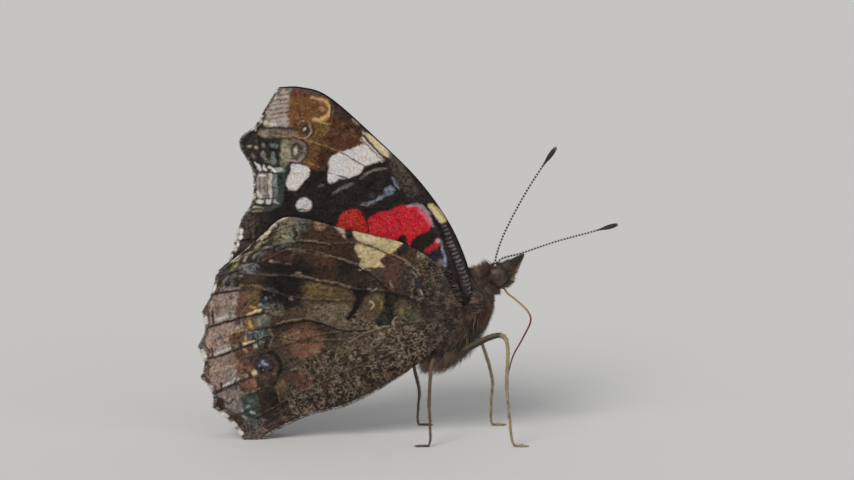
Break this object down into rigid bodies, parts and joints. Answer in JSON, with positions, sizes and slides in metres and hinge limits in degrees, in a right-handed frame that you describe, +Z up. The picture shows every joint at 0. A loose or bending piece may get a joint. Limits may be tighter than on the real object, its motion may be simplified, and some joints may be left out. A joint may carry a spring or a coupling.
{
  "type": "red admiral butterfly",
  "caption": "Life-size red admiral butterfly standing at rest with its wings closed over its back, feelers apart and tongue out; a still display model.",
  "frame": {"origin": "on the floor, under the middle of the bounding box", "axes": "+X along the insect from wing edge to head, +Y to its left, +Z up"},
  "size_m": [0.047, 0.0114, 0.0391],
  "materials": {
    "wing": "matte",
    "fur": "matte",
    "eye": "satin",
    "antenna": "satin",
    "proboscis": "satin",
    "leg": "satin"
  },
  "bodies": {
    "root": {"head": "fur", "eye_right": "eye", "eye_left": "eye", "palp_right": "fur", "palp_left": "fur", "antenna_right": "antenna", "antenna_left": "antenna", "proboscis": "proboscis", "thorax": "fur", "abdomen": "fur", "midleg_right": "leg", "midleg_left": "leg", "hindleg_right": "leg", "hindleg_left": "leg", "foreleg_right": "leg", "foreleg_left": "leg", "forewing_right": "wing", "forewing_left": "wing", "hindwing_right": "wing", "hindwing_left": "wing"}
  },
  "joints": []
}
